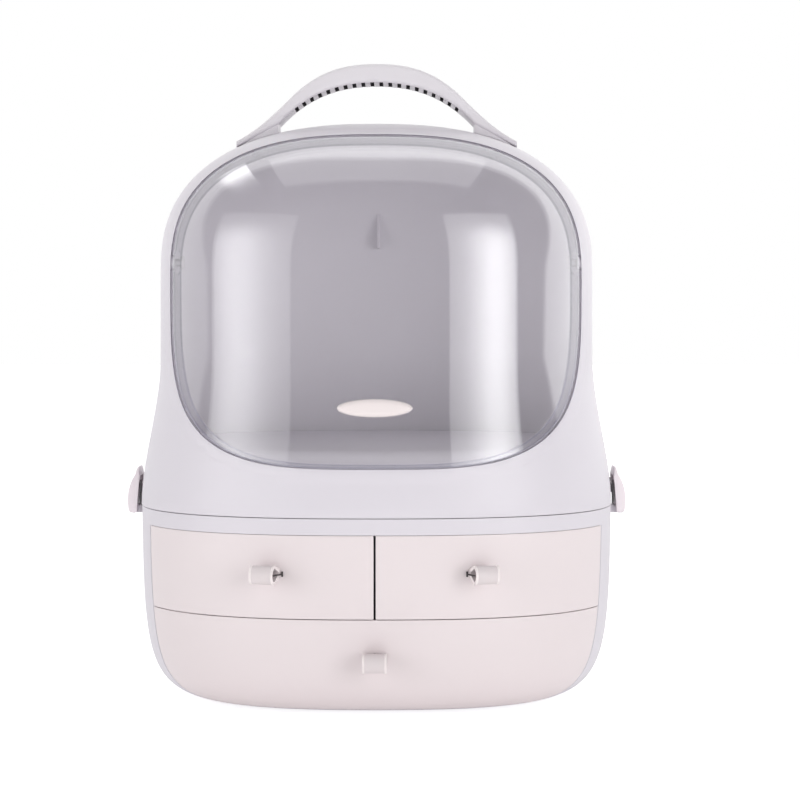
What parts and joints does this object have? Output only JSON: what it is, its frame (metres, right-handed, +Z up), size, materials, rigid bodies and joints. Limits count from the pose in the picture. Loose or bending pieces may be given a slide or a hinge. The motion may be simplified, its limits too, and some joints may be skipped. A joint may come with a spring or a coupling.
{
  "type": "cosmetics organizer case",
  "caption": "Egg-shaped vanity case with a flip-up smoked visor over a raised compartment, drawers with loop pulls below, side latches and an arched carry handle.",
  "frame": {"origin": "centre of the base's underside, on the ground plane within the height of the rubber feet", "axes": "+Z up along the case's height, -Y towards the visor and drawer fronts, +X to the right seen from the front"},
  "size_m": [0.2964, 0.2197, 0.3734],
  "materials": {
    "shell": "fine satin moulded finish, pale cool white",
    "handle": "satin moulded finish, pale cool white",
    "latch": "satin moulded finish, pale cool white",
    "inner": "satin moulded finish, light grey",
    "drawer": "fine satin moulded finish, warm pinkish white",
    "tray": "satin moulded finish, warm white",
    "strap": "soft satin strap, warm grey white",
    "tab": "smooth, warm white",
    "smoke_clear": "clear acrylic with a light smoke tint, polished",
    "steel": "dark blackened steel",
    "rubber": "matt grey rubber"
  },
  "bodies": {
    "case": {"base_shell": "shell", "base_deck": "inner", "drawer_shelf": "inner", "centre_partition": "inner", "foot_front_left": "rubber", "foot_front_right": "rubber", "foot_back_left": "rubber", "foot_back_right": "rubber", "hood_shell": "shell", "compartment_floor": "inner", "carry_handle": "handle", "handle_screw_left": "steel", "handle_screw_right": "steel", "visor_pin_left": "handle", "visor_pin_right": "handle"},
    "visor": {"visor_shell": "smoke_clear", "visor_tab": "tab"},
    "drawer_upper_left": {"drawer_front_upper_left": "drawer", "drawer_tray_upper_left": "tray", "pull_loop_upper_left": "strap", "pull_washer_upper_left": "steel", "pull_screw_upper_left": "steel"},
    "drawer_upper_right": {"drawer_front_upper_right": "drawer", "drawer_tray_upper_right": "tray", "pull_loop_upper_right": "strap", "pull_washer_upper_right": "steel", "pull_screw_upper_right": "steel"},
    "drawer_lower": {"drawer_front_lower": "drawer", "drawer_tray_lower": "tray", "pull_loop_lower": "strap", "pull_washer_lower": "steel", "pull_screw_lower": "steel"},
    "latch_left": {"latch_plate_left": "latch", "latch_pin_left": "steel"},
    "latch_right": {"latch_plate_right": "latch", "latch_pin_right": "steel"}
  },
  "joints": [
    {"name": "visor_hinge", "type": "hinge", "parent": "case", "child": "visor", "pos_m": [0, -0.042, 0.255], "axis": [-1, 0, 0], "range_deg": [0, 105]},
    {"name": "drawer_slide_upper_left", "type": "slide", "parent": "case", "child": "drawer_upper_left", "axis": [0, -1, 0], "range_m": [0, 0.09]},
    {"name": "drawer_slide_upper_right", "type": "slide", "parent": "case", "child": "drawer_upper_right", "axis": [0, -1, 0], "range_m": [0, 0.09]},
    {"name": "drawer_slide_lower", "type": "slide", "parent": "case", "child": "drawer_lower", "axis": [0, -1, 0], "range_m": [0, 0.09]},
    {"name": "latch_hinge_left", "type": "hinge", "parent": "case", "child": "latch_left", "pos_m": [-0.1446, 0, 0.1093], "axis": [0, -1, 0], "range_deg": [0, 95]},
    {"name": "latch_hinge_right", "type": "hinge", "parent": "case", "child": "latch_right", "pos_m": [0.1446, 0, 0.1093], "axis": [0, 1, 0], "range_deg": [0, 95]}
  ]
}
